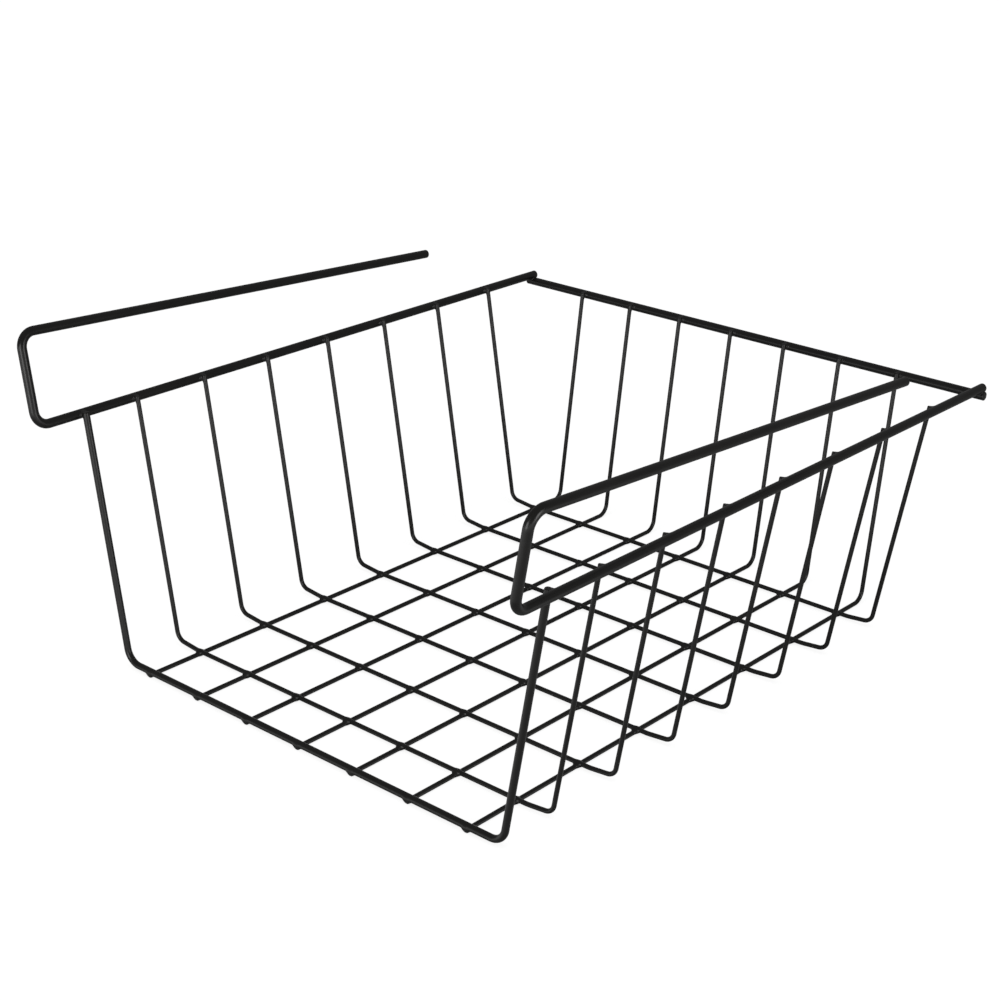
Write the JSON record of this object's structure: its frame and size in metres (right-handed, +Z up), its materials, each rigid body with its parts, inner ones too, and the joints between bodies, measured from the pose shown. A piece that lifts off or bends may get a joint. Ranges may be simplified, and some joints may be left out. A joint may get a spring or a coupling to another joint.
{
  "type": "under-shelf wire basket",
  "caption": "Open-fronted wire basket whose two side rails bend back into arms that reach over a shelf board, so that it hangs below the shelf.",
  "frame": {"origin": "bottom centre of the overall box, on the surface that the floor wires stand on", "axes": "+Z up; +Y from the open front to the back rail; +X to the right for someone who faces the open front"},
  "size_m": [0.347, 0.3956, 0.189],
  "materials": {
    "powder_coated_steel": "satin black powder coat"
  },
  "bodies": {
    "root": {"left_hook_rail": "powder_coated_steel", "right_hook_rail": "powder_coated_steel", "back_rail": "powder_coated_steel", "front_cross_wire": "powder_coated_steel", "cross_wire_1": "powder_coated_steel", "cross_wire_2": "powder_coated_steel", "cross_wire_3": "powder_coated_steel", "cross_wire_4": "powder_coated_steel", "cross_wire_5": "powder_coated_steel", "cross_wire_6": "powder_coated_steel", "cross_wire_7": "powder_coated_steel", "floor_wire_1": "powder_coated_steel", "floor_wire_2": "powder_coated_steel", "floor_wire_3": "powder_coated_steel", "floor_wire_4": "powder_coated_steel", "floor_wire_5": "powder_coated_steel", "floor_wire_6": "powder_coated_steel", "floor_wire_7": "powder_coated_steel"}
  },
  "joints": []
}
